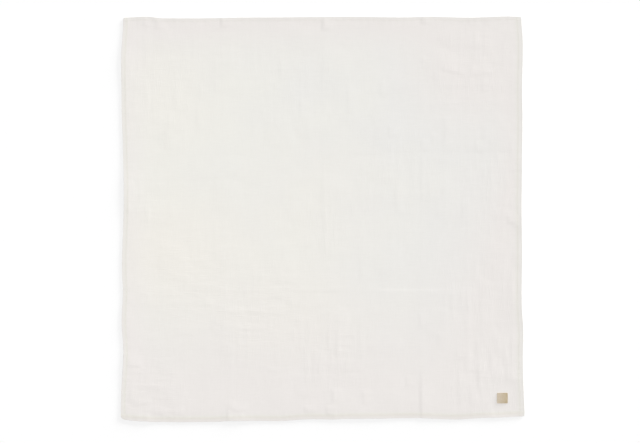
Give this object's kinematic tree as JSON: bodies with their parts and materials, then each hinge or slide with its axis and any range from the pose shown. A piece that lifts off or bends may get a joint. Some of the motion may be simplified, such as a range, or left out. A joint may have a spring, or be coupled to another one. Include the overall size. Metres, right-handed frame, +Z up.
{
  "type": "swaddle blanket",
  "caption": "Square off-white cotton muslin swaddle blanket laid out flat, with stitched turned hems, faint pressed folds and a small plain beige patch sewn near one corner.",
  "frame": {"origin": "on the surface, under the middle of the cloth's box", "axes": "+Z up from the surface; +X across the cloth's width towards the side nearer the patch; +Y along its length, away from the patch"},
  "size_m": [1.16, 1.166, 0.0058],
  "materials": {
    "muslin": "undyed off-white cotton muslin, matt, finely crinkled",
    "label": "beige leatherette, matt, fine grain"
  },
  "bodies": {
    "root": {"muslin_cloth": "muslin", "label_patch": "label"}
  },
  "joints": []
}
